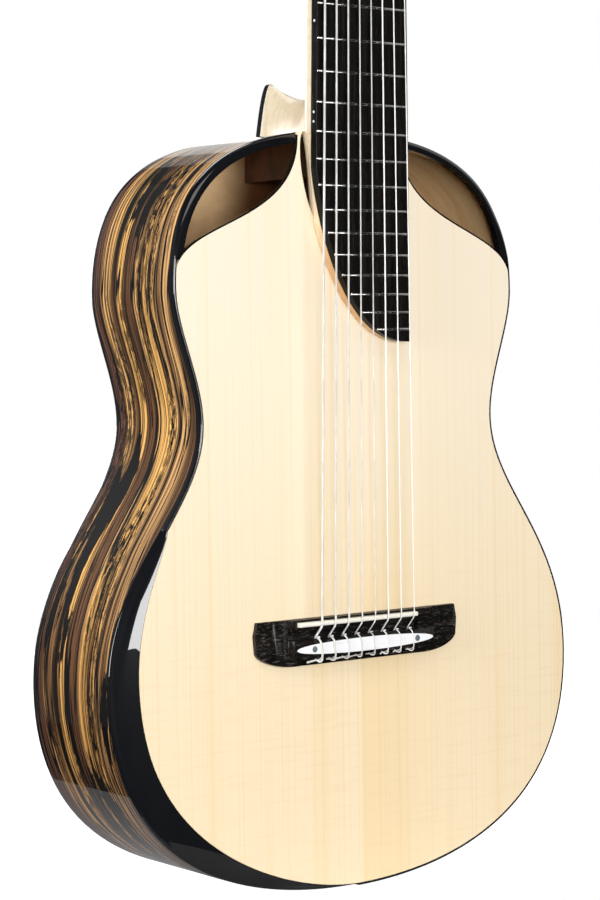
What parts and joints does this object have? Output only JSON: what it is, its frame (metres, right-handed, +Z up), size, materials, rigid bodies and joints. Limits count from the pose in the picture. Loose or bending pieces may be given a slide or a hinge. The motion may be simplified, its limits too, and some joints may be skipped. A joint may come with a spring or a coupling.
{
  "type": "eight-string classical guitar",
  "caption": "Concert classical guitar with a raised slant-ended fingerboard, corner sound ports, an arm bevel and geared tuning machines.",
  "frame": {"origin": "bottom end of the body on its centre line, halfway through its depth, where a stand's seat takes it", "axes": "+Z up the neck towards the headstock, -Y out of the soundboard towards the player's audience, +X towards the treble side"},
  "size_m": [0.3874, 0.1218, 1.0269],
  "materials": {
    "spruce": "gloss",
    "ziricote": "gloss",
    "ebony": "gloss",
    "maple": "satin",
    "cedar": "raw",
    "lining_wood": "raw",
    "block_wood": "raw",
    "bone": "polished bone",
    "nylon": "smooth",
    "wound_wire": "fine winding",
    "brass": "polished",
    "pearl_button": "gloss"
  },
  "bodies": {
    "guitar": {"soundboard": "spruce", "back_plate": "ziricote", "side_bass": "ziricote", "side_treble": "ziricote", "top_binding_bass": "ebony", "top_binding_treble": "ebony", "back_binding": "ebony", "port_rim_bass": "ebony", "port_rim_treble": "ebony", "arm_bevel": "ebony", "fingerboard": "ebony", "bridge": "ebony", "heel_cap": "ebony", "headstock_veneer": "ebony", "neck": "maple", "headstock": "maple", "bridge_patch": "maple", "neck_block": "block_wood", "tail_block": "cedar", "top_lining": "lining_wood", "back_lining": "lining_wood", "harmonic_bar": "lining_wood", "neck_bar": "lining_wood", "fan_brace_1": "lining_wood", "fan_brace_2": "lining_wood", "fan_brace_3": "lining_wood", "fan_brace_4": "lining_wood", "fan_brace_5": "lining_wood", "back_brace_1": "lining_wood", "back_brace_2": "lining_wood", "back_brace_3": "lining_wood", "saddle": "bone", "tie_block_cap": "bone", "nut": "bone", "string_1": "nylon", "string_2": "nylon", "string_3": "nylon", "string_4": "wound_wire", "string_5": "wound_wire", "string_6": "wound_wire", "string_7": "wound_wire", "string_8": "wound_wire", "tuner_plate_bass": "brass", "tuner_plate_treble": "brass"},
    "button_1": {"tuner_button_1": "pearl_button"},
    "roller_1": {"tuner_roller_1": "brass"},
    "button_2": {"tuner_button_2": "pearl_button"},
    "roller_2": {"tuner_roller_2": "brass"},
    "button_3": {"tuner_button_3": "pearl_button"},
    "roller_3": {"tuner_roller_3": "brass"},
    "button_4": {"tuner_button_4": "pearl_button"},
    "roller_4": {"tuner_roller_4": "brass"},
    "button_5": {"tuner_button_5": "pearl_button"},
    "roller_5": {"tuner_roller_5": "brass"},
    "button_6": {"tuner_button_6": "pearl_button"},
    "roller_6": {"tuner_roller_6": "brass"},
    "button_7": {"tuner_button_7": "pearl_button"},
    "roller_7": {"tuner_roller_7": "brass"},
    "button_8": {"tuner_button_8": "pearl_button"},
    "roller_8": {"tuner_roller_8": "brass"}
  },
  "joints": [
    {"name": "button_turn_1", "type": "hinge", "parent": "guitar", "child": "button_1", "pos_m": [0.049, -0.0469, 0.866], "axis": [0, -0.9744, 0.225], "continuous": true},
    {"name": "roller_turn_1", "type": "hinge", "parent": "guitar", "child": "roller_1", "pos_m": [0, -0.04476, 0.87526], "axis": [1, 0, 0], "continuous": true},
    {"name": "button_turn_2", "type": "hinge", "parent": "guitar", "child": "button_2", "pos_m": [0.049, -0.03925, 0.89913], "axis": [0, -0.9744, 0.225], "continuous": true},
    {"name": "roller_turn_2", "type": "hinge", "parent": "guitar", "child": "roller_2", "pos_m": [0, -0.03711, 0.90839], "axis": [1, 0, 0], "continuous": true},
    {"name": "button_turn_3", "type": "hinge", "parent": "guitar", "child": "button_3", "pos_m": [0.049, -0.0316, 0.93226], "axis": [0, -0.9744, 0.225], "continuous": true},
    {"name": "roller_turn_3", "type": "hinge", "parent": "guitar", "child": "roller_3", "pos_m": [0, -0.02946, 0.94151], "axis": [1, 0, 0], "continuous": true},
    {"name": "button_turn_4", "type": "hinge", "parent": "guitar", "child": "button_4", "pos_m": [0.049, -0.02395, 0.96539], "axis": [0, -0.9744, 0.225], "continuous": true},
    {"name": "roller_turn_4", "type": "hinge", "parent": "guitar", "child": "roller_4", "pos_m": [0, -0.02181, 0.97464], "axis": [1, 0, 0], "continuous": true},
    {"name": "button_turn_5", "type": "hinge", "parent": "guitar", "child": "button_5", "pos_m": [-0.049, -0.02395, 0.96539], "axis": [0, -0.9744, 0.225], "continuous": true},
    {"name": "roller_turn_5", "type": "hinge", "parent": "guitar", "child": "roller_5", "pos_m": [0, -0.02181, 0.97464], "axis": [1, 0, 0], "continuous": true},
    {"name": "button_turn_6", "type": "hinge", "parent": "guitar", "child": "button_6", "pos_m": [-0.049, -0.0316, 0.93226], "axis": [0, -0.9744, 0.225], "continuous": true},
    {"name": "roller_turn_6", "type": "hinge", "parent": "guitar", "child": "roller_6", "pos_m": [0, -0.02946, 0.94151], "axis": [1, 0, 0], "continuous": true},
    {"name": "button_turn_7", "type": "hinge", "parent": "guitar", "child": "button_7", "pos_m": [-0.049, -0.03925, 0.89913], "axis": [0, -0.9744, 0.225], "continuous": true},
    {"name": "roller_turn_7", "type": "hinge", "parent": "guitar", "child": "roller_7", "pos_m": [0, -0.03711, 0.90839], "axis": [1, 0, 0], "continuous": true},
    {"name": "button_turn_8", "type": "hinge", "parent": "guitar", "child": "button_8", "pos_m": [-0.049, -0.0469, 0.866], "axis": [0, -0.9744, 0.225], "continuous": true},
    {"name": "roller_turn_8", "type": "hinge", "parent": "guitar", "child": "roller_8", "pos_m": [0, -0.04476, 0.87526], "axis": [1, 0, 0], "continuous": true}
  ],
  "couplings": [
    {"joint": "roller_turn_1", "follows": "button_turn_1", "ratio": 0.071429},
    {"joint": "roller_turn_2", "follows": "button_turn_2", "ratio": 0.071429},
    {"joint": "roller_turn_3", "follows": "button_turn_3", "ratio": 0.071429},
    {"joint": "roller_turn_4", "follows": "button_turn_4", "ratio": 0.071429},
    {"joint": "roller_turn_5", "follows": "button_turn_5", "ratio": 0.071429},
    {"joint": "roller_turn_6", "follows": "button_turn_6", "ratio": 0.071429},
    {"joint": "roller_turn_7", "follows": "button_turn_7", "ratio": 0.071429},
    {"joint": "roller_turn_8", "follows": "button_turn_8", "ratio": 0.071429}
  ]
}
